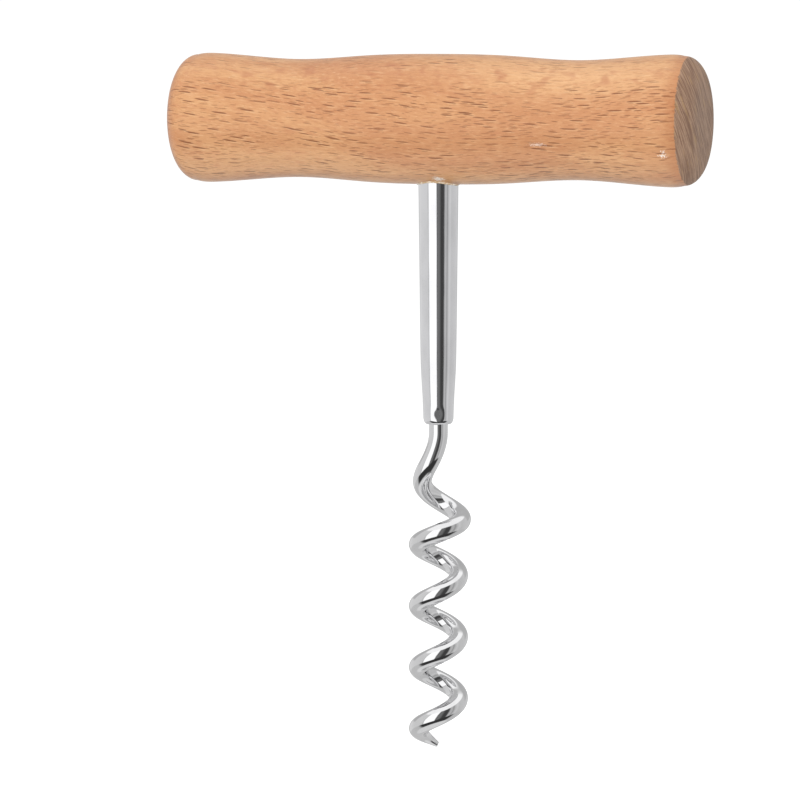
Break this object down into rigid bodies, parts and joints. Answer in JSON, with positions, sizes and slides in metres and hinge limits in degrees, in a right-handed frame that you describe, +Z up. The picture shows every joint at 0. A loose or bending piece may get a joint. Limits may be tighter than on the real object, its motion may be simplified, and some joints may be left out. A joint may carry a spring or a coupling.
{
  "type": "corkscrew",
  "caption": "Straight-pull corkscrew: a turned wooden T-handle on a chromed tube shank that grips an open wire worm.",
  "frame": {"origin": "where the shank's axis crosses the handle's axis, in the middle of the grip", "axes": "+Z up the shank, away from the worm's point; +X along the handle; +Y to the back"},
  "size_m": [0.0998, 0.0238, 0.1285],
  "materials": {
    "beech": "turned, satin lacquer",
    "tube_chrome": "polished chrome plate",
    "wire_steel": "polished plated wire",
    "adhesive": "cured clear adhesive"
  },
  "bodies": {
    "root": {"handle": "beech", "shank_tube": "tube_chrome", "worm": "wire_steel", "adhesive": "adhesive"}
  },
  "joints": []
}
